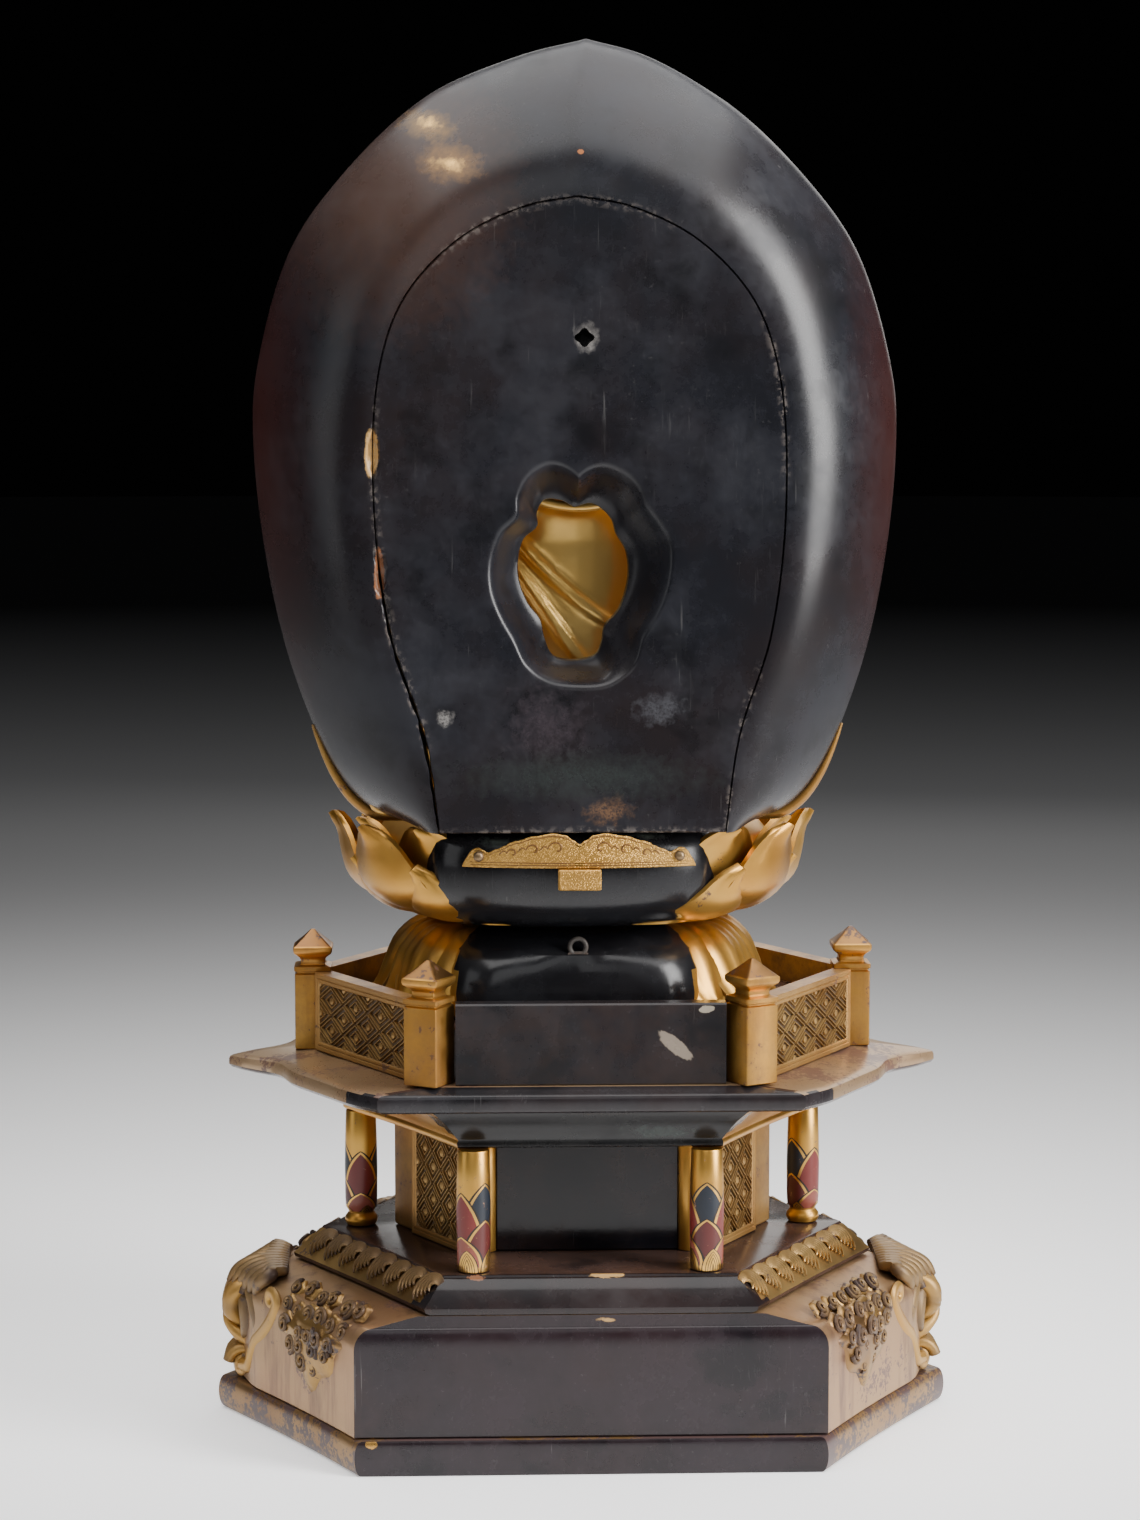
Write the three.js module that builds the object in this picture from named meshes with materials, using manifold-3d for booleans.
// Altar halo throne: a boat-shaped halo, a seated gilt figure, a lotus throne and a
// six-sided railed dais on a carved foot. The back of every tier is cut off flat and
// lacquered black. Millimetres, +Z up, the figure faces -Y, and the origin lies in the
// middle of the underside.

import * as THREE from "three";
import { mergeVertices } from "three/addons/utils/BufferGeometryUtils.js";
import Module from "manifold-3d";

const wasm = await Module();
wasm.setup();

// Driving dimensions

const contactGap = 0.3; // left between pieces that touch

const footRadius = 190; // centre to corner of the bottom moulding
const footBackY = 124; // flat back of the bottom moulding
const footHeight = 17.7;
const footBulge = 4.5; // how far the half-round moulding stands out

const baseRadius = 188;
const baseBackY = 120;
const baseTopZ = 78.6;
const baseEdgeRound = 11; // rounding of the shoulder
const baseCornerCut = 9; // how far the carved corners stand back behind the true corner
const sideBow = 3; // hollow of each side in plan

const leafBandRadius = 150;
const leafBandBackY = 118;
const slabRadius = 135;
const slabBackY = 108;
const slabTopZ = 96.5;
const slabEdge = 4; // height of the slab's upright edge
const leafPitch = 17; // spacing of the slanted leaves on the band

const columnCircle = 115; // centre to column axis
const columnRadius = 8.5;
const columnTopZ = 157.5;

const coreRadius = 97.5;
const coreBackY = 62;
const pilasterRadius = 6.5;
const pilasterX = 51;
const corePanelWidth = 52;
const corePanelThickness = 3;
const panelFrame = 5; // width of a panel's frame
const latticeDepth = 1.6; // how deep the panel field lies behind its frame

const lipRadius = 124;
const lipBackY = 100;
const lipHeight = 4;
const lowerSlabRadius = 143;
const lowerSlabBackY = 111;
const lowerSlabTopZ = 178;

const eaveRadius = 183;
const eaveBackY = 118;
const eaveEdge = 9.4; // thickness of the plate at its rim
const eaveTopZ = 190.5; // highest part of the plate, inside the rail
const eaveHollow = 9; // hollow of each side in plan, beside its middle

const postCircle = 139; // centre to post axis at the sides and front
const postSide = 18.5;
const backPostX = 79;
const backPostY = 103;
const postBodyTopZ = 234;
const postTipZ = 252;
const railTopZ = 231;
const railThickness = 10;
const backRailY = 109; // outer face of the plain back panel
const floorTopZ = 216.5;

const throneShift = 5.5; // the throne stands a little off the middle of the dais
const lotusJointZ = 262;
const lotusTopZ = 313.5;
const lotusPetalRadius = 122;
const lotusPetals = 12; // petals of one full row, the back ones left out
const lotusBackY = 104.5;
const backCurve = 190; // radius of the throne's plain back in plan
const reversedTipRadius = 107;
const plainBackX = 68; // half width of the throne's plain back

const haloTopZ = 699;
const haloBottomZ = 314;
const haloHalfWidth = 159.4;
const haloBackY = 106;
const haloRimY = 48; // front edge of the halo's rim
const rimEdge = 5; // thickness of the rim's edge
const boardFrontY = 76;
const boardHalfWidth = 99.5;
const boardTopZ = 620;
const ringRidge = 4; // how far the rings stand out in front of the board

const plateHalfWidth = 57;
const plateBottomZ = 297;
const plateEarHeight = 17;
const plateThickness = 1.6;
const tongueWidth = 21;
const tongueDepth = 5;
const tongueBottomZ = 286.5;
const nailRadius = 2.6;

const figureHeight = 258;
const figureBackY = 70;

// Colours and surfaces

function surface(color, roughness, metalness) {
  return new THREE.MeshStandardMaterial({ color, roughness, metalness });
}

const blackLacquer = () => surface(0x1c1719, 0.35, 0);
const brownLacquer = () => surface(0x3a2a1e, 0.4, 0);
const wornGold = () => surface(0xb98a3a, 0.38, 0.8);
const dustyGold = () => surface(0x94784a, 0.5, 0.6);
const paintedColumn = () => surface(0x9c6a34, 0.4, 0.5);
const brassPlate = () => surface(0xc99a4c, 0.4, 0.8);
const darkIron = () => surface(0x2c2622, 0.6, 0.6);

// Solids: joining, cutting and turning geometry into closed bodies

function toSolid(geometry) {
  geometry.deleteAttribute("normal");
  geometry.deleteAttribute("uv");
  const merged = mergeVertices(geometry, 1e-4);
  return new wasm.Manifold(
    new wasm.Mesh({
      numProp: 3,
      vertProperties: new Float32Array(merged.attributes.position.array),
      triVerts: new Uint32Array(merged.index.array),
    })
  );
}

function toGeometry(solid) {
  const mesh = solid.getMesh();
  const geometry = new THREE.BufferGeometry();
  geometry.setAttribute("position", new THREE.BufferAttribute(mesh.vertProperties, 3));
  geometry.setIndex(new THREE.BufferAttribute(mesh.triVerts, 1));
  return geometry;
}

// Joins lumps into one body and fills the pockets that close up between them.
function joinAll(geometries) {
  const solids = geometries.map(toSolid);
  return filled(solids.reduce((whole, next) => whole.add(next)));
}

function filled(solid) {
  const bodies = solid.decompose().filter((body) => body.volume() > 0);
  return bodies.reduce((whole, next) => whole.add(next));
}

function piece(name, source, material) {
  const geometry = source.isBufferGeometry ? source : toGeometry(source);
  geometry.computeVertexNormals();
  const mesh = new THREE.Mesh(geometry, material);
  mesh.name = name;
  return mesh;
}

// A closed skin over rings of the same number of points, with a fan at each end.
// Rings run counter-clockwise seen from the end they rise towards.
function loft(rings) {
  const positions = [];
  const index = [];
  const count = rings[0].length;
  for (const ring of rings) {
    for (const point of ring) positions.push(point.x, point.y, point.z);
  }
  for (let level = 0; level < rings.length - 1; level++) {
    for (let i = 0; i < count; i++) {
      const a = level * count + i;
      const b = level * count + ((i + 1) % count);
      index.push(a, b, b + count, a, b + count, a + count);
    }
  }
  const centreOf = (ring) =>
    ring.reduce((sum, p) => sum.add(p), new THREE.Vector3()).divideScalar(ring.length);
  const first = centreOf(rings[0]);
  const last = centreOf(rings[rings.length - 1]);
  const firstIndex = positions.length / 3;
  positions.push(first.x, first.y, first.z, last.x, last.y, last.z);
  const top = (rings.length - 1) * count;
  for (let i = 0; i < count; i++) {
    const next = (i + 1) % count;
    index.push(firstIndex, next, i);
    index.push(firstIndex + 1, top + i, top + next);
  }
  const geometry = new THREE.BufferGeometry();
  geometry.setAttribute("position", new THREE.Float32BufferAttribute(positions, 3));
  geometry.setIndex(index);
  return geometry;
}

const degrees = (angle) => (angle * Math.PI) / 180;
const mix = THREE.MathUtils.lerp;

function box(width, depth, height, x, y, z) {
  return new THREE.BoxGeometry(width, depth, height).translate(x, y, z);
}

// An egg-shaped lump, carved detail in its coarsest form.
function lump(halfSizes, centre, turnZ = 0, tilt = 0, detail = 1) {
  return new THREE.OctahedronGeometry(1, detail)
    .scale(...halfSizes)
    .rotateY(tilt)
    .rotateZ(turnZ)
    .translate(...centre);
}

// A six-sided boss that stands out along +X before it is turned.
function boss(halfSizes, centre, turnZ) {
  return new THREE.CylinderGeometry(0.45, 1, 1, 6)
    .rotateZ(-Math.PI / 2)
    .translate(0.2, 0, 0)
    .scale(halfSizes[0] * 1.4, halfSizes[1], halfSizes[2])
    .rotateZ(turnZ)
    .translate(...centre);
}

// Everything behind the plane y = backY, to be cut away.
function behind(backY) {
  const reach = 500;
  return toSolid(box(2 * reach, reach, 2 * reach, 0, backY + reach / 2, reach / 2));
}

// Six-sided outlines with corners at 0, 60 ... degrees and the back cut off at backY.
// insetAt(share, sideLength) says how far a side stands back at a share of its length.

function hexRing({ radius, backY, z, insetAt = () => 0, steps = 6, lift = () => 0 }) {
  const ring = [];
  const sin60 = Math.sin(degrees(60));
  const addSide = (startAngle, fromShare, toShare) => {
    const start = new THREE.Vector2(radius * Math.cos(startAngle), radius * Math.sin(startAngle));
    const along = new THREE.Vector2(Math.cos(startAngle + degrees(120)), Math.sin(startAngle + degrees(120)));
    const out = new THREE.Vector2(Math.cos(startAngle + degrees(30)), Math.sin(startAngle + degrees(30)));
    for (let i = 0; i < steps; i++) {
      const share = mix(fromShare, toShare, i / steps);
      const inset = insetAt(share, radius);
      const x = start.x + along.x * share * radius - out.x * inset;
      const y = start.y + along.y * share * radius - out.y * inset;
      ring.push(new THREE.Vector3(x, Math.min(y, backY), z + lift(share)));
    }
  };
  const cutShare = (share) => (backY + insetAt(share, radius) / 2) / (radius * sin60);
  const cut = Math.min(1, cutShare(cutShare(1)));
  addSide(0, 0, cut);
  const inset = insetAt(cut, radius);
  const cutX = radius - (cut * radius) / 2 - inset * sin60;
  for (let i = 0; i < steps; i++) {
    ring.push(new THREE.Vector3(mix(cutX, -cutX, i / steps), backY, z + lift(0.5)));
  }
  addSide(degrees(120), 1 - cut, 1);
  for (const corner of [180, 240, 300]) addSide(degrees(corner), 0, 1);
  return ring;
}

const bowed = (bow) => (share) => bow * Math.sin(Math.PI * share);

// Bottom moulding: a half-round strip round the foot, plain at the back

function bottomMoulding() {
  const middle = footHeight / 2;
  const rings = [];
  const bands = 4;
  for (let i = 0; i <= bands; i++) {
    const angle = mix(-90, 90, i / bands);
    const out = footBulge * (Math.cos(degrees(angle)) - 1);
    rings.push(
      hexRing({
        radius: footRadius + out,
        backY: footBackY,
        z: middle + middle * Math.sin(degrees(angle)),
        insetAt: bowed(sideBow),
        steps: 4,
      })
    );
  }
  return loft(rings);
}

// Foot body with carved corners and a hanging cluster of flower curls on each side

const baseBottomZ = footHeight + contactGap;
const shoulderZ = baseTopZ - 6;

function baseInset(cornerCut) {
  return (share) => {
    const corner = Math.max(0, 1 - Math.min(share, 1 - share) * 6);
    return sideBow * Math.sin(Math.PI * share) + cornerCut * corner;
  };
}

function cornerCarving(angle) {
  const at = (radial, along, z) => [
    radial * Math.cos(angle) - along * Math.sin(angle),
    radial * Math.sin(angle) + along * Math.cos(angle),
    z,
  ];
  const lumps = [
    lump([16, 18, 8], at(baseRadius - 19, 0, shoulderZ), angle, degrees(20), 0),
    lump([15, 13, 11], at(baseRadius - 13, 0, 52), angle, degrees(-35), 0),
    lump([9, 9, 9], at(baseRadius - 10, 0, 27), angle),
  ];
  for (const side of [-1, 1]) {
    lumps.push(lump([8, 12, 20], at(baseRadius - 25, side * 19, 50), angle + side * degrees(30), 0, 0));
    lumps.push(lump([14, 5, 6], at(baseRadius - 21, side * 10, baseTopZ - 4), angle, degrees(12), 0));
  }
  return lumps;
}

function hangingFlowers(angle) {
  const face = baseRadius * Math.cos(degrees(30)) - sideBow;
  const at = (out, along, z) => [
    (face + out) * Math.cos(angle) - along * Math.sin(angle),
    (face + out) * Math.sin(angle) + along * Math.cos(angle),
    z,
  ];
  const lumps = [];
  const rows = [
    { z: baseTopZ - 7, out: -5, count: 3, spacing: 28 },
    { z: baseTopZ - 18, out: -1, count: 2, spacing: 22 },
    { z: baseTopZ - 28, out: -1, count: 1, spacing: 0 },
  ];
  for (const row of rows) {
    for (let i = 0; i < row.count; i++) {
      const along = (i - (row.count - 1) / 2) * row.spacing;
      lumps.push(boss([7, 13, 10], at(row.out, along, row.z), angle));
    }
  }
  return lumps;
}

function baseBody() {
  const ring = (radius, backY, z, cornerCut) =>
    hexRing({ radius, backY, z, insetAt: baseInset(cornerCut), steps: 6 });
  const round = baseEdgeRound;
  const body = loft([
    ring(baseRadius, baseBackY, baseBottomZ, baseCornerCut),
    ring(baseRadius, baseBackY, shoulderZ - round, baseCornerCut),
    ring(baseRadius - 0.3 * round, baseBackY, shoulderZ - 0.3 * round, baseCornerCut),
    ring(baseRadius - round, baseBackY, shoulderZ, baseCornerCut),
    ring(leafBandRadius + 4, baseBackY, baseTopZ, 0),
  ]);
  const lumps = [0, -60, -120, 180].flatMap((angle) => cornerCarving(degrees(angle)));
  for (const angle of [30, -30, -90, -150, 150]) lumps.push(...hangingFlowers(degrees(angle)));
  const below = toSolid(box(500, 500, 100, 0, 0, baseBottomZ - 50));
  return joinAll([body, ...lumps]).subtract(behind(baseBackY)).subtract(below);
}

// Sloped band of slanted leaves, with the top slab in one piece with it

const bandBottomZ = baseTopZ + contactGap;

function leafStep() {
  const ring = (radius, backY, z) => hexRing({ radius, backY, z, insetAt: bowed(1), steps: 4 });
  const edgeZ = slabTopZ - slabEdge;
  const band = loft([
    ring(leafBandRadius - 3, leafBandBackY, bandBottomZ),
    ring(leafBandRadius, leafBandBackY, bandBottomZ + 4),
    ring(slabRadius + 4, slabBackY + 3, edgeZ - 2),
    ring(slabRadius, slabBackY, edgeZ),
    ring(slabRadius, slabBackY, slabTopZ),
  ]);
  const lumps = [];
  const middleRadius = (leafBandRadius + slabRadius) / 2;
  const face = middleRadius * Math.cos(degrees(30)) + 1;
  const leaves = 2 * Math.floor((middleRadius - 10) / leafPitch / 2) + 1;
  for (const angle of [30, -30, -90, -150, 150].map(degrees)) {
    for (let i = 0; i < leaves; i++) {
      const along = (i - (leaves - 1) / 2) * leafPitch;
      const leaf = lump([9, 5, 5.5], [0, 0, 0], degrees(28), degrees(38), 0);
      leaf.rotateZ(angle);
      leaf.translate(
        face * Math.cos(angle) - along * Math.sin(angle),
        face * Math.sin(angle) + along * Math.cos(angle),
        (bandBottomZ + edgeZ) / 2 + 0.5
      );
      lumps.push(leaf);
    }
  }
  const below = toSolid(box(400, 400, 60, 0, 0, bandBottomZ - 30));
  return joinAll([band, ...lumps]).subtract(behind(leafBandBackY)).subtract(below);
}

// Columns: round, with a bead at the foot except on the two at the back

const columnBottomZ = slabTopZ + contactGap;

function column(hasBead) {
  const height = columnTopZ - columnBottomZ;
  const profile = [new THREE.Vector2(0, 0)];
  if (hasBead) {
    profile.push(new THREE.Vector2(columnRadius * 0.8, 0));
    profile.push(new THREE.Vector2(columnRadius, 2));
    profile.push(new THREE.Vector2(columnRadius, 4));
    profile.push(new THREE.Vector2(columnRadius * 0.75, 6.5));
  }
  profile.push(new THREE.Vector2(columnRadius * 0.97, hasBead ? 10 : 0));
  profile.push(new THREE.Vector2(columnRadius, height * 0.5));
  profile.push(new THREE.Vector2(columnRadius * 0.9, height));
  profile.push(new THREE.Vector2(0, height));
  return new THREE.LatheGeometry(profile, 8).rotateX(Math.PI / 2);
}

// Panels: a frame round a sunk field with a boss in each cell of its diamond lattice,
// facing +X

function latticePanel(width, height, thickness, cellsAcross) {
  const frontX = thickness / 2;
  const plate = toSolid(box(thickness, width, height, 0, 0, 0));
  const fieldWidth = width - 2 * panelFrame;
  const fieldHeight = height - 2 * panelFrame;
  const field = toSolid(box(2 * latticeDepth, fieldWidth, fieldHeight, frontX, 0, 0));
  const cell = fieldWidth / cellsAcross;
  const bosses = [];
  for (let i = 0; i < cellsAcross; i++) {
    const y = (i + 0.5 - cellsAcross / 2) * cell;
    for (const row of [-1, 1]) {
      const z = (row * fieldHeight) / 4;
      const sizes = [latticeDepth, cell * 0.48, fieldHeight * 0.24];
      bosses.push(lump(sizes, [frontX - latticeDepth, y, z], 0, 0, 0));
    }
  }
  return plate.subtract(field).add(joinAll(bosses).intersect(plate));
}

// Core of the dais, with two half-round strips beside its black back

const coreBottomZ = slabTopZ + contactGap;
const lipBottomZ = columnTopZ + contactGap;
const coreTopZ = lipBottomZ - contactGap;

function pilaster(side, extra = 0) {
  const height = coreTopZ - coreBottomZ + 4 * extra;
  return new THREE.CylinderGeometry(pilasterRadius + extra, pilasterRadius + extra, height, 12)
    .rotateX(Math.PI / 2)
    .translate(side * pilasterX, coreBackY - pilasterRadius * 0.6, (coreTopZ + coreBottomZ) / 2);
}

function coreDrum() {
  const ring = (z) => hexRing({ radius: coreRadius, backY: coreBackY, z, steps: 1 });
  const drum = toSolid(loft([ring(coreBottomZ), ring(coreTopZ)]));
  const besideX = pilasterX + pilasterRadius / 2;
  let result = drum;
  for (const side of [-1, 1]) {
    result = result.subtract(toSolid(pilaster(side, contactGap)));
    const corner = box(30, 30, 200, side * (besideX + 15), coreBackY + 15 - pilasterRadius, 100);
    result = result.subtract(toSolid(corner));
  }
  return result;
}

// Slab under the eave: a lip along its lower edge and a hollow slope up to the eave

function lowerSlab() {
  const ring = (radius, backY, z) => hexRing({ radius, backY, z, insetAt: bowed(2), steps: 4 });
  const lipTopZ = lipBottomZ + lipHeight;
  const between = (outward, backward, upward) =>
    ring(
      mix(lipRadius, lowerSlabRadius, outward),
      mix(lipBackY, lowerSlabBackY, backward),
      mix(lipTopZ, lowerSlabTopZ, upward)
    );
  return loft([
    ring(lipRadius - 1, lipBackY, lipBottomZ),
    ring(lipRadius, lipBackY + 1, lipBottomZ + 1),
    ring(lipRadius, lipBackY + 1, lipTopZ),
    between(0.25, 0.3, 0.5),
    between(0.6, 0.6, 0.85),
    ring(lowerSlabRadius, lowerSlabBackY, lowerSlabTopZ),
  ]);
}

// Eave plate with a rounded point at each corner

const eaveBottomZ = lowerSlabTopZ + contactGap;

function eavePlate() {
  const insetAt = (share) => {
    const fromMiddle = Math.abs(share - 0.5) * 2;
    const wave = eaveHollow * Math.sin(Math.PI * Math.min(1, (1 - fromMiddle) * 1.45)) ** 2;
    const middle = eaveHollow * 0.6 * Math.max(0, 1 - fromMiddle * 1.6);
    const tip = eaveRadius * 0.02 * Math.max(0, 1 - (1 - fromMiddle) * 12);
    return Math.max(wave, middle) + tip;
  };
  const thinTip = (share) => 2 * Math.max(0, Math.abs(share - 0.5) * 2 - 0.6);
  const ring = (scale, backY, z, lift) =>
    hexRing({ radius: eaveRadius * scale, backY, z, insetAt, steps: 8, lift });
  const edgeTopZ = eaveBottomZ + eaveEdge;
  return loft([
    ring(0.8, eaveBackY - 10, eaveBottomZ),
    ring(0.985, eaveBackY - 1.5, eaveBottomZ, thinTip),
    ring(1, eaveBackY, eaveBottomZ + 2.5, thinTip),
    ring(1, eaveBackY, edgeTopZ - 1.5, (share) => -thinTip(share)),
    ring(0.985, eaveBackY - 1, edgeTopZ, (share) => -thinTip(share)),
    ring(0.82, eaveBackY - 7, eaveTopZ),
  ]);
}

// Floor inside the rail

const railBottomZ = eaveTopZ + contactGap;
const railLine = postCircle * Math.cos(degrees(30)); // centre to the line of the posts

function platformFloor() {
  const inner = railLine - railThickness / 2 - contactGap;
  const ring = (z) =>
    hexRing({
      radius: inner / Math.cos(degrees(30)),
      backY: backRailY - railThickness - contactGap,
      z,
      steps: 1,
    });
  let floor = toSolid(loft([ring(railBottomZ), ring(floorTopZ)]));
  for (const spot of postSpots()) floor = floor.subtract(toSolid(postBlock(spot, contactGap)));
  return floor;
}

// Posts with a neck, a cap and a low pyramid

function postSpots() {
  const onCircle = [0, -60, -120, 180].map((angle) => ({
    x: postCircle * Math.cos(degrees(angle)),
    y: postCircle * Math.sin(degrees(angle)),
    turn: degrees(angle),
  }));
  const back = [60, 120].map((angle) => ({
    x: Math.sign(90 - angle) * backPostX,
    y: backPostY,
    turn: degrees(angle),
  }));
  return [...onCircle, ...back];
}

function postBlock(spot, extra) {
  const side = postSide + 2 * extra;
  return box(side, side, 100, 0, 0, railBottomZ + 40).rotateZ(spot.turn).translate(spot.x, spot.y, 0);
}

function post() {
  const half = postSide / 2;
  const square = (size, z) =>
    [45, 135, 225, 315].map((angle) => {
      const reach = size * Math.SQRT2;
      return new THREE.Vector3(reach * Math.cos(degrees(angle)), reach * Math.sin(degrees(angle)), z);
    });
  const capZ = mix(postBodyTopZ, postTipZ, 0.45);
  return loft([
    square(half, railBottomZ),
    square(half, postBodyTopZ - 1),
    square(half * 0.7, postBodyTopZ),
    square(half * 0.7, postBodyTopZ + 4),
    square(half * 1.08, capZ),
    square(half * 1.08, capZ + 2),
    square(half * 0.1, postTipZ),
  ]);
}

// Rail: five lattice panels and one plain panel at the back

function railPanel(angle) {
  const height = railTopZ - railBottomZ;
  const panel = latticePanel(postCircle, height, railThickness, 6);
  let placed = panel
    .rotate([0, 0, angle])
    .translate([
      railLine * Math.cos(degrees(angle)),
      railLine * Math.sin(degrees(angle)),
      (railTopZ + railBottomZ) / 2,
    ]);
  for (const spot of postSpots()) placed = placed.subtract(toSolid(postBlock(spot, contactGap)));
  const parts = placed.decompose();
  parts.sort((a, b) => b.volume() - a.volume());
  return parts[0];
}

function backRail() {
  const height = railTopZ - railBottomZ;
  const middleZ = (railTopZ + railBottomZ) / 2;
  const panel = box(2 * backPostX, railThickness, height, 0, backRailY - railThickness / 2, middleZ);
  let solid = toSolid(panel);
  for (const spot of postSpots()) solid = solid.subtract(toSolid(postBlock(spot, contactGap)));
  const parts = solid.decompose();
  parts.sort((a, b) => b.volume() - a.volume());
  return parts[0];
}

// Round tiers of the throne, with a flatter plain back. Each ring stands out and
// rises by its own share of the petal wave, which is 1 at the middle of a petal and
// 0 where two petals meet, and dies out at the plain back.

const pointsPerPetal = 6;
const throneSteps = lotusPetals * pointsPerPetal;

function petalWave(angle, turn) {
  const x = lotusPetalRadius * Math.cos(angle);
  const besidePlain = THREE.MathUtils.smoothstep(Math.abs(x), plainBackX - 6, plainBackX + 14);
  const atBack = Math.sin(angle) > 0 ? besidePlain : 1;
  const phase = ((angle - degrees(-90)) * lotusPetals) / (2 * Math.PI) + turn;
  const fromMiddle = Math.abs(phase - Math.round(phase)) * 2;
  return { wave: Math.max(0, 1 - fromMiddle ** 1.7), atBack };
}

function throneRing({ r, backY, z, out = 0, up = 0, turn = 0 }) {
  const ring = [];
  for (let i = 0; i < throneSteps; i++) {
    const angle = (i / throneSteps) * 2 * Math.PI;
    const { wave, atBack } = petalWave(angle, turn);
    const radius = r + out * wave * atBack;
    const x = radius * Math.cos(angle);
    const plainY = backY - (x * x) / (2 * backCurve);
    const y = Math.min(radius * Math.sin(angle), mix(plainY, 2 * lotusPetalRadius, atBack));
    ring.push(new THREE.Vector3(x + throneShift, y, z + up * wave * atBack));
  }
  return ring;
}

// Each row: radius as a share of the petals' reach, back as a share of the throne's
// back, height as a share of the tier, then how far the petals stand out and rise.
function throneTier(reach, tip, bottomZ, height, rows) {
  return loft(
    rows.map(([radius, back, rise, out = 0, up = 0, turn = 0]) =>
      throneRing({
        r: reach * radius,
        backY: lotusBackY * back,
        z: bottomZ + rise * height,
        out: tip * out,
        up: up * height,
        turn,
      })
    )
  );
}

function lotusThrone() {
  const bottomZ = lotusJointZ + contactGap;
  return throneTier(lotusPetalRadius, lotusPetalRadius * 0.197, bottomZ, lotusTopZ - bottomZ, [
    [0.492, 0.574, 0],
    [0.672, 0.746, 0.06, 0.25],
    [0.82, 0.938, 0.25, 0.38],
    [0.852, 1, 0.46, 0.7, 0.08],
    [0.828, 1, 0.56, 1, 0.27],
    [0.787, 1, 0.6, 0.6, 0.23],
    [0.803, 1, 0.7, 0.55, 0.1, 0.5],
    [0.787, 1, 0.84, 0.9, 0.14, 0.5],
    [0.738, 0.97, 1],
  ]);
}

// Reversed lotus under the throne

function reversedLotus() {
  const bottomZ = floorTopZ + contactGap;
  const body = throneTier(reversedTipRadius, reversedTipRadius * 0.178, bottomZ, lotusJointZ - bottomZ, [
    [0.785, 0.88, 0],
    [0.804, 0.909, 0.3, 0.11],
    [0.822, 0.909, 0.5, 1, -0.25],
    [0.813, 0.861, 0.68, 0.7, -0.09],
    [0.729, 0.727, 0.9, 0.26],
    [0.561, 0.574, 1],
  ]);
  return toSolid(body).subtract(toSolid(eyePocket(contactGap)));
}

// Iron eye standing out of the reversed lotus at the back

const eyeRadius = 4;
const eyeWire = 1.2;
const eyeY = 84;
const eyeZ = 253;

function eyePocket(extra) {
  const width = 2 * (eyeRadius + eyeWire + extra);
  const z = eyeZ - eyeRadius;
  return box(width, 2 * (eyeWire + extra), 2 * eyeRadius, throneShift, eyeY, z);
}

function ironEye() {
  const ring = new THREE.TorusGeometry(eyeRadius, eyeWire, 4, 10).rotateX(Math.PI / 2);
  ring.translate(throneShift, eyeY, eyeZ + 2);
  const legs = box(2 * (eyeRadius + eyeWire), 2 * eyeWire, 2 * eyeRadius - contactGap, throneShift, eyeY, 0);
  legs.translate(0, 0, eyeZ - eyeRadius + contactGap / 2);
  return joinAll([ring, legs]);
}

// Gilt brace: a plate bent round the throne's back, two nails and a stippled tongue

function bentY(x) {
  const fromMiddle = x - throneShift;
  return lotusBackY + contactGap - (fromMiddle * fromMiddle) / (2 * backCurve);
}

// The plate's upper edge: a cusped outline with a raised ear at each end.
function plateTopZ(share) {
  const shape = [0.97, 0.894, 0.776, 1, 0.676];
  const place = Math.abs(share) * (shape.length - 1);
  const from = Math.min(shape.length - 2, Math.floor(place));
  return plateBottomZ + plateEarHeight * mix(shape[from], shape[from + 1], place - from);
}

function bracePlate() {
  const rings = [];
  const stations = 16;
  for (let i = 0; i <= stations; i++) {
    const share = mix(-1, 1, i / stations);
    const x = throneShift + share * plateHalfWidth;
    const inner = bentY(x) + contactGap;
    const outer = inner + plateThickness;
    rings.push([
      new THREE.Vector3(x, outer, plateBottomZ),
      new THREE.Vector3(x, outer, plateTopZ(share)),
      new THREE.Vector3(x, inner, plateTopZ(share)),
      new THREE.Vector3(x, inner, plateBottomZ),
    ]);
  }
  return loft(rings);
}

function braceNail(side) {
  const x = throneShift + side * plateHalfWidth * 0.9;
  const y = bentY(x) + 2 * contactGap + plateThickness + nailRadius * 0.5;
  return new THREE.SphereGeometry(nailRadius, 6, 4)
    .scale(1, 0.5, 1)
    .translate(x, y, plateBottomZ + plateEarHeight * 0.41);
}

function braceTongue() {
  const height = plateBottomZ - contactGap - tongueBottomZ;
  const y = lotusBackY + contactGap + tongueDepth / 2;
  return box(tongueWidth, tongueDepth, height, throneShift, y, tongueBottomZ + height / 2);
}

// Halo: outlines of the whole and of its middle board, right half from foot to tip

function halfOutline(points, steps) {
  const curve = new THREE.CatmullRomCurve3(
    points.map(([x, z]) => new THREE.Vector3(x, 0, z)),
    false,
    "centripetal"
  );
  return curve.getPoints(steps);
}

const haloHeight = haloTopZ - haloBottomZ;
const boardHeight = boardTopZ - haloBottomZ;
const haloSteps = 15;

const haloHalf = halfOutline(
  [
    [0.53, 0],
    [0.655, 0.018],
    [0.75, 0.06],
    [0.887, 0.195],
    [0.969, 0.35],
    [1, 0.505],
    [0.985, 0.582],
    [0.878, 0.732],
    [0.72, 0.825],
    [0.47, 0.922],
    [0.2, 0.978],
    [0, 1],
  ].map(([x, z]) => [x * haloHalfWidth, haloBottomZ + z * haloHeight]),
  haloSteps
);

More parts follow.
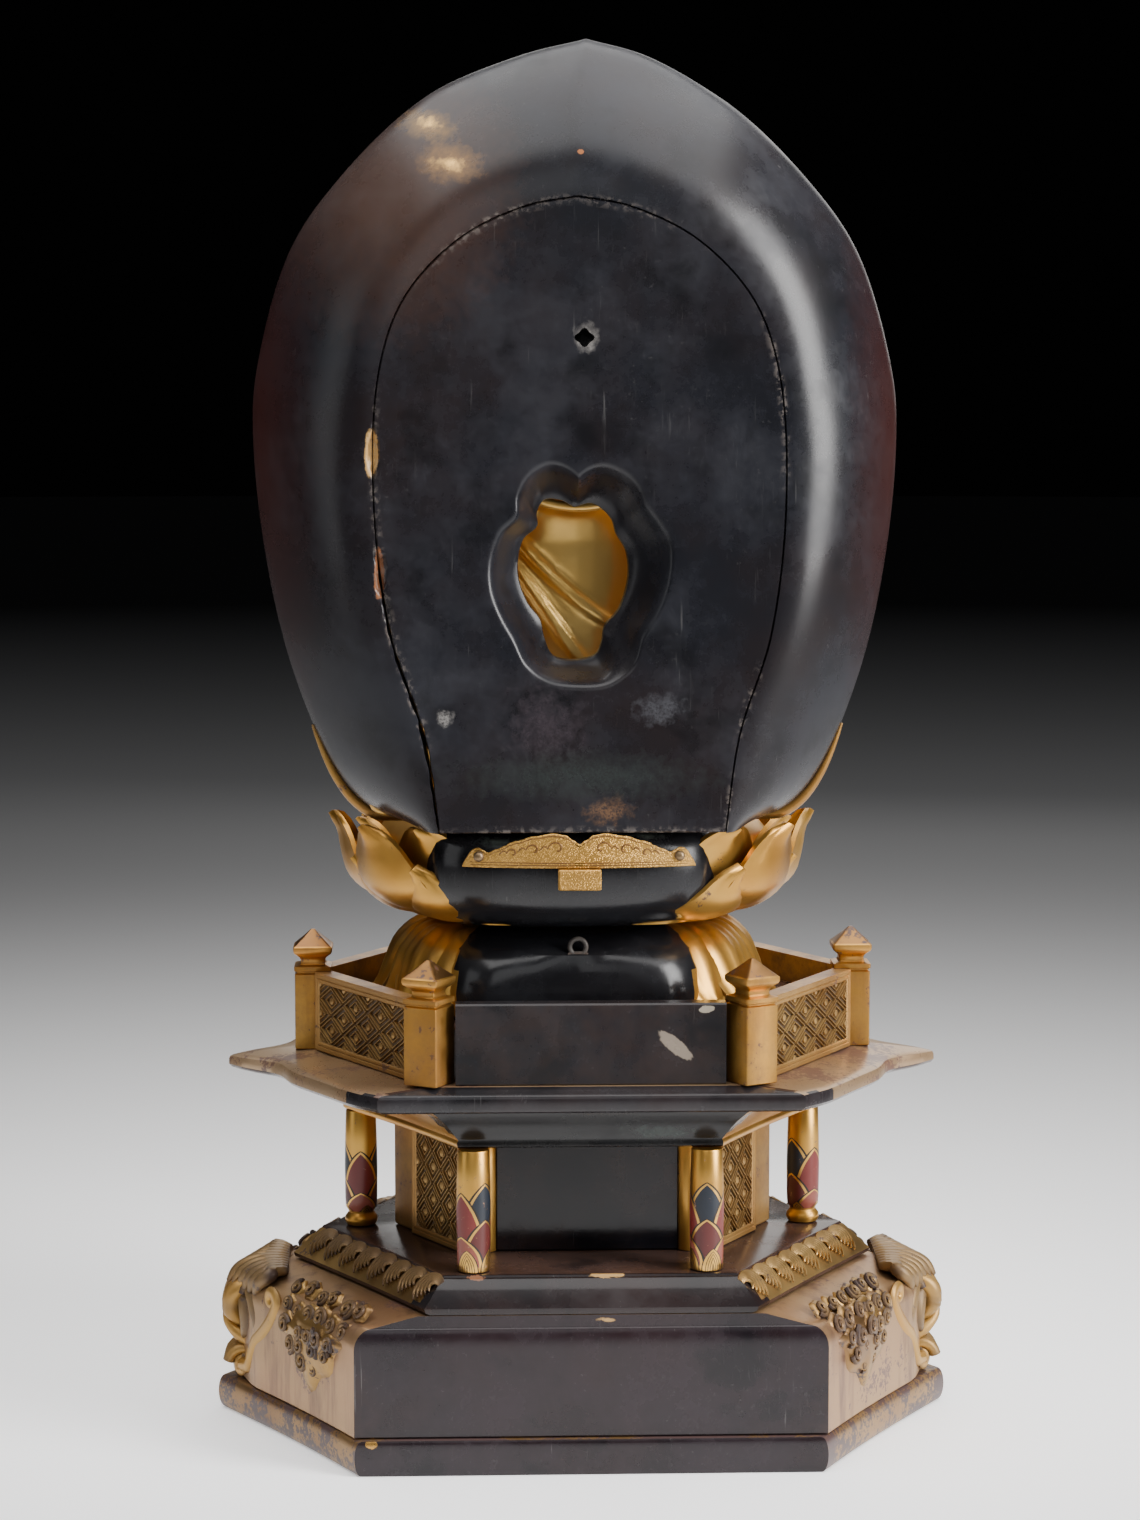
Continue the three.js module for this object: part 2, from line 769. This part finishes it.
const boardHalf = halfOutline(
  [
    [0.7, 0],
    [0.77, 0.155],
    [0.925, 0.314],
    [1, 0.526],
    [0.965, 0.73],
    [0.84, 0.843],
    [0.57, 0.935],
    [0.25, 0.985],
    [0, 1],
  ].map(([x, z]) => [x * boardHalfWidth, haloBottomZ + z * boardHeight]),
  haloSteps
);

function bothHalves(half) {
  const mirrored = half
    .slice(0, -1)
    .reverse()
    .map((p) => new THREE.Vector3(-p.x, p.y, p.z));
  return [...half, ...mirrored];
}

const outerLine = bothHalves(haloHalf);
const boardLine = bothHalves(boardHalf);

// The halo's cross-section from its rim to its board, along the back and the front.
const backProfile = [0, 0.07, 0.22, 0.45, 0.72, 1];
const frontProfile = [1, 0.55, 0.2];

function backY(t) {
  return mix(haloRimY + rimEdge, haloBackY, Math.sin((t * Math.PI) / 2) ** 0.85);
}

function frontY(t) {
  return mix(haloRimY, boardFrontY, Math.sin((t * Math.PI) / 2));
}

function haloSection(i) {
  const outer = outerLine[i];
  const inner = boardLine[i];
  const at = (t, y, gap = 0) =>
    new THREE.Vector3(
      mix(outer.x, inner.x + Math.sign(inner.x) * gap, t) + throneShift,
      y,
      mix(outer.z, inner.z + (inner.z > haloBottomZ + 1 ? gap : 0), t)
    );
  const points = [at(0, haloRimY)];
  for (const t of backProfile) points.push(at(t, backY(t), contactGap));
  for (const t of frontProfile) points.push(at(t, frontY(t), contactGap));
  return points;
}

// Low cloud curls on the front of the halo's border.
function cloudCurls() {
  const lumps = [];
  const last = outerLine.length - 1;
  for (let i = 3; i <= last - 3; i += 3) {
    const outer = outerLine[i];
    const inner = boardLine[i];
    const share = 0.42;
    const x = mix(outer.x, inner.x, share) + throneShift;
    const z = mix(outer.z, inner.z, share);
    lumps.push(lump([15, 6, 15], [x, frontY(share) - 1, z]));
  }
  return lumps;
}

function haloRim() {
  const sections = outerLine.map((_, i) => haloSection(i));
  const border = loft(sections);
  return joinAll([border, ...cloudCurls()]);
}

// The pierced hole: five round lobes and a middle one, all narrowing from the back
// face to the opening.
// Places are measured from the halo's middle line and its foot.
const holeLobes = [
  { x: 14.5, z: 163.5, r: 16, innerX: 8.2, innerZ: 150, innerR: 11.4 },
  { x: -14.3, z: 158.8, r: 20, innerX: -6, innerZ: 146.8, innerR: 10.7 },
  { x: -15.8, z: 122, r: 29.2, innerX: -8.9, innerZ: 122.9, innerR: 20 },
  { x: 0, z: 94, r: 26.3, innerX: 2.3, innerZ: 98, innerR: 14.8 },
  { x: 17.9, z: 126.8, r: 26.3, innerX: 11.5, innerZ: 124.4, innerR: 20 },
  { x: 2, z: 140, r: 20, innerX: 2, innerZ: 136, innerR: 14 },
];
const holeBevelDepth = 22;
const pegHole = { x: -2.6, z: 239, r: 4, depth: 14 };

function circleRing(x, z, radius, y, sides) {
  const ring = [];
  for (let i = 0; i < sides; i++) {
    const angle = (-i / sides) * 2 * Math.PI;
    const px = throneShift + x + radius * Math.cos(angle);
    ring.push(new THREE.Vector3(px, y, haloBottomZ + z + radius * Math.sin(angle)));
  }
  return ring;
}

function holeCutter() {
  const bevelY = haloBackY - holeBevelDepth;
  const cones = holeLobes.map((lobe) =>
    loft([
      circleRing(lobe.innerX, lobe.innerZ, lobe.innerR, boardFrontY - 12, 14),
      circleRing(lobe.innerX, lobe.innerZ, lobe.innerR, bevelY, 14),
      circleRing(lobe.x, lobe.z, lobe.r, haloBackY + 0.01, 14),
      circleRing(lobe.x, lobe.z, lobe.r, haloBackY + 2, 14),
    ])
  );
  return joinAll(cones);
}

// Ring-shaped ridges on the board's front, round the head and round the body.
function ringRidgeAt(radius, width, z) {
  const shape = new THREE.Shape().absarc(0, 0, radius, 0, 2 * Math.PI);
  shape.holes.push(new THREE.Path().absarc(0, 0, radius - width, 0, 2 * Math.PI));
  return new THREE.ExtrudeGeometry(shape, { depth: ringRidge + 1, bevelEnabled: false, curveSegments: 12 })
    .rotateX(Math.PI / 2)
    .translate(throneShift, boardFrontY + 1, z);
}

const headZ = lotusTopZ + contactGap + figureHeight * 0.83;
const chestZ = lotusTopZ + contactGap + figureHeight * 0.42;

function haloBoard() {
  const loop = [...boardLine, new THREE.Vector3(0, 0, haloBottomZ)];
  const ring = (y) => loop.map((p) => new THREE.Vector3(p.x + throneShift, y, p.z)).reverse();
  const board = toSolid(loft([ring(boardFrontY), ring(haloBackY)]));
  const ridges = joinAll([
    ringRidgeAt(boardHalfWidth * 0.57, 5, headZ),
    ringRidgeAt(boardHalfWidth * 0.87, 6, chestZ),
  ]);
  const peg = loft([
    circleRing(pegHole.x, pegHole.z, pegHole.r, haloBackY - pegHole.depth, 8),
    circleRing(pegHole.x, pegHole.z, pegHole.r, haloBackY + 2, 8),
  ]);
  return board.add(ridges).subtract(holeCutter()).subtract(toSolid(peg));
}

// Seated figure, legs crossed, robe over the left shoulder. Its forms are shares of
// its own height, measured from the seat and from its middle line.

const seatZ = lotusTopZ + contactGap;

function onFigure(x, y, z) {
  return [throneShift + x * figureHeight, y * figureHeight, seatZ + z * figureHeight];
}

function figureLump(halfSizes, centre, turnZ = 0, tilt = 0, detail = 2) {
  return lump(halfSizes.map((size) => size * figureHeight), onFigure(...centre), turnZ, tilt, detail);
}

function ellipseRing(halfWidth, halfDepth, centreY, z, sides = 12) {
  const ring = [];
  for (let i = 0; i < sides; i++) {
    const angle = (i / sides) * 2 * Math.PI;
    ring.push(
      new THREE.Vector3(...onFigure(halfWidth * Math.cos(angle), centreY + halfDepth * Math.sin(angle), z))
    );
  }
  return ring;
}

function limb(points, radius, sides = 6, steps = 7) {
  const curve = new THREE.CatmullRomCurve3(points.map((p) => new THREE.Vector3(...onFigure(...p))));
  const section = new THREE.Shape().absarc(0, 0, radius * figureHeight, 0, 2 * Math.PI);
  return new THREE.ExtrudeGeometry(section, {
    steps,
    extrudePath: curve,
    curveSegments: sides / 2,
    bevelEnabled: false,
  });
}

function figureBody() {
  const backShare = figureBackY / figureHeight;
  const torso = loft([
    ellipseRing(0.27, 0.2, backShare - 0.21, 0),
    ellipseRing(0.25, 0.19, backShare - 0.2, 0.12),
    ellipseRing(0.185, 0.15, backShare - 0.16, 0.26),
    ellipseRing(0.19, 0.15, backShare - 0.16, 0.42),
    ellipseRing(0.225, 0.145, backShare - 0.16, 0.56),
    ellipseRing(0.19, 0.11, backShare - 0.14, 0.635),
    ellipseRing(0.07, 0.06, backShare - 0.13, 0.67),
    ellipseRing(0.055, 0.055, backShare - 0.14, 0.74),
  ]);
  const parts = [torso];
  for (const side of [-1, 1]) {
    parts.push(figureLump([0.2, 0.13, 0.085], [side * 0.24, -0.1, 0.075], side * degrees(-25)));
    parts.push(limb([[side * 0.2, 0.12, 0.58], [side * 0.27, 0.08, 0.42], [side * 0.25, -0.02, 0.28],
      [side * 0.1, -0.18, 0.2], [side * 0.02, -0.22, 0.19]], 0.058));
    parts.push(figureLump([0.12, 0.1, 0.14], [side * 0.27, -0.01, 0.2], side * degrees(20), 0, 1));
    parts.push(figureLump([0.018, 0.025, 0.055], [side * 0.088, 0.12, 0.8], 0, 0, 1));
  }
  parts.push(figureLump([0.2, 0.14, 0.06], [0, -0.2, 0.06]));
  parts.push(figureLump([0.08, 0.05, 0.03], [0, -0.23, 0.175], 0, 0, 1));
  return parts;
}

function figureHead() {
  const parts = [
    figureLump([0.082, 0.092, 0.108], [0, 0.12, 0.83], 0, 0, 2),
    figureLump([0.05, 0.055, 0.045], [0, 0.14, 0.945], 0, 0, 1),
    figureLump([0.014, 0.02, 0.03], [0, 0.032, 0.815], 0, 0, 1),
    figureLump([0.04, 0.02, 0.014], [0, 0.045, 0.755], 0, 0, 1),
  ];
  const rows = 2;
  for (let row = 0; row < rows; row++) {
    const tiltUp = degrees(10 + row * 24);
    const count = 11 - row * 3;
    for (let i = 0; i < count; i++) {
      const around = degrees(-90) + ((i + (row % 2) / 2) / count) * 2 * Math.PI;
      const x = 0.078 * Math.cos(tiltUp) * Math.cos(around);
      const y = 0.12 + 0.088 * Math.cos(tiltUp) * Math.sin(around);
      const z = 0.84 + 0.095 * Math.sin(tiltUp);
      parts.push(figureLump([0.02, 0.02, 0.02], [x, y, z], around, 0, 0));
    }
  }
  return parts;
}

// Robe folds: raised ridges slanting over the back, the chest, the sleeves and the lap.
function robeFolds() {
  const backShare = figureBackY / figureHeight;
  const folds = [
    [[0.15, backShare - 0.045, 0.6], [0.06, backShare - 0.012, 0.5], [-0.04, backShare - 0.016, 0.38],
      [-0.12, backShare - 0.05, 0.27]],
    [[0.19, backShare - 0.07, 0.52], [0.12, backShare - 0.03, 0.4], [0.03, backShare - 0.012, 0.3],
      [-0.05, backShare - 0.015, 0.2]],
    [[0.15, 0.01, 0.6], [0.09, -0.03, 0.48], [-0.02, -0.03, 0.36], [-0.14, 0.03, 0.3]],
    [[-0.3, -0.15, 0.13], [-0.12, -0.27, 0.1], [0.12, -0.27, 0.1], [0.3, -0.15, 0.13]],
  ];
  return folds.map((points) => limb(points, 0.014, 4, 5));
}

function figure() {
  const below = toSolid(box(600, 600, 200, 0, 0, seatZ - 100));
  const behindFigure = behind(figureBackY);
  return joinAll([...figureBody(), ...figureHead(), ...robeFolds()]).subtract(below).subtract(behindFigure);
}

// Assembly

const model = new THREE.Group();

model.add(piece("base_moulding", bottomMoulding(), wornGold()));
model.add(piece("base_body", baseBody(), dustyGold()));
model.add(piece("base_leaf_step", leafStep(), brownLacquer()));
model.add(piece("core_drum", coreDrum(), blackLacquer()));
for (const side of [1, -1]) {
  model.add(piece(`core_pilaster_${side > 0 ? 1 : 2}`, pilaster(side), wornGold()));
}

[30, -30, -90, -150, 150].forEach((angle, i) => {
  const atBack = angle > 0;
  const height = (coreTopZ - coreBottomZ) * 0.84;
  const panel = latticePanel(corePanelWidth, height, corePanelThickness, 2);
  const mesh = piece(`core_panel_${i + 1}`, panel, dustyGold());
  const out = coreRadius * Math.cos(degrees(30)) + corePanelThickness / 2 + contactGap;
  const side = Math.sign(Math.cos(degrees(angle)));
  const slide = atBack ? -side * (coreRadius / 2 - coreBackY / Math.sin(degrees(60)) / 2) : 0;
  mesh.position.set(
    out * Math.cos(degrees(angle)) - slide * Math.sin(degrees(angle)),
    out * Math.sin(degrees(angle)) + slide * Math.cos(degrees(angle)),
    coreBottomZ + height / 2 + 4
  );
  mesh.rotation.z = degrees(angle);
  model.add(mesh);
});

[0, 60, 120, 180, 240, 300].forEach((angle, i) => {
  const atBack = angle === 60 || angle === 120;
  const mesh = piece(`column_${i + 1}`, column(!atBack), paintedColumn());
  const x = columnCircle * Math.cos(degrees(angle));
  mesh.position.set(x, columnCircle * Math.sin(degrees(angle)), columnBottomZ);
  model.add(mesh);
});

model.add(piece("dais_lower_slab", lowerSlab(), wornGold()));
model.add(piece("dais_eave_plate", eavePlate(), brownLacquer()));
model.add(piece("platform_floor", platformFloor(), brownLacquer()));

postSpots().forEach((spot, i) => {
  const mesh = piece(`rail_post_${i + 1}`, post(), wornGold());
  mesh.position.set(spot.x, spot.y, 0);
  mesh.rotation.z = spot.turn;
  model.add(mesh);
});

[30, -30, -90, -150, 150].forEach((angle, i) => {
  model.add(piece(`rail_panel_${i + 1}`, railPanel(angle), dustyGold()));
});
model.add(piece("rail_back_panel", backRail(), blackLacquer()));

model.add(piece("reversed_lotus", reversedLotus(), wornGold()));
model.add(piece("iron_eye", ironEye(), darkIron()));
model.add(piece("lotus_throne", lotusThrone(), wornGold()));
model.add(piece("brace_plate", bracePlate(), brassPlate()));
model.add(piece("brace_nail_1", braceNail(1), darkIron()));
model.add(piece("brace_nail_2", braceNail(-1), darkIron()));
model.add(piece("brace_tongue", braceTongue(), brassPlate()));

model.add(piece("halo_rim", haloRim(), blackLacquer()));
model.add(piece("halo_board", haloBoard(), blackLacquer()));
model.add(piece("seated_figure", figure(), wornGold()));

export default model;
